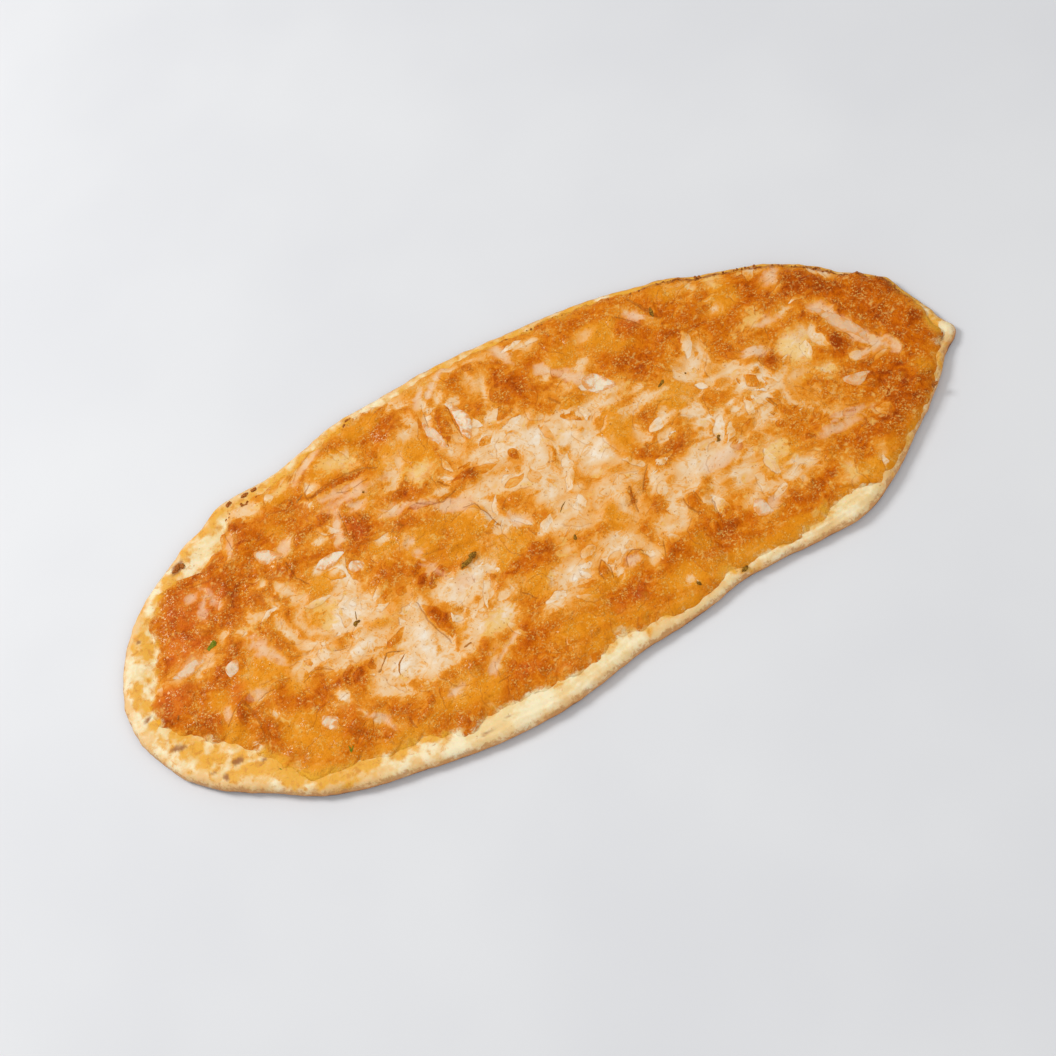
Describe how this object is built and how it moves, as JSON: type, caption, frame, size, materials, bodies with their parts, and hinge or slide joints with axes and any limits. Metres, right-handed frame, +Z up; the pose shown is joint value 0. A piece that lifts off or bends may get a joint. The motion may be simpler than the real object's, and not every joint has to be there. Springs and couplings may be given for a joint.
{
  "type": "cheese lahmacun",
  "caption": "Long oval flatbread with a puffed rim, covered by a thin crusted sheet of baked cheese with pale slivers.",
  "frame": {"origin": "centre of the bread's footprint, on the surface it lies on", "axes": "+Z up through the topping; +X along the bread's long axis, with the blunt end at -X"},
  "size_m": [0.3423, 0.1588, 0.0081],
  "materials": {
    "bread": "dry baked dough, floury cream with brown freckles and a dark browned foot",
    "baked_cheese": "granular orange-brown crust with oily glints and smooth cream pools",
    "pale_cheese": "pale melted cheese, soft satin"
  },
  "bodies": {
    "root": {"dough": "bread", "cheese_topping": "baked_cheese", "cheese_sliver_01": "pale_cheese", "cheese_sliver_02": "pale_cheese", "cheese_sliver_03": "pale_cheese", "cheese_sliver_04": "pale_cheese", "cheese_sliver_05": "pale_cheese", "cheese_sliver_06": "pale_cheese", "cheese_sliver_07": "pale_cheese", "cheese_sliver_08": "pale_cheese", "cheese_sliver_09": "pale_cheese", "cheese_sliver_10": "pale_cheese", "cheese_sliver_11": "pale_cheese", "cheese_sliver_12": "pale_cheese"}
  },
  "joints": []
}
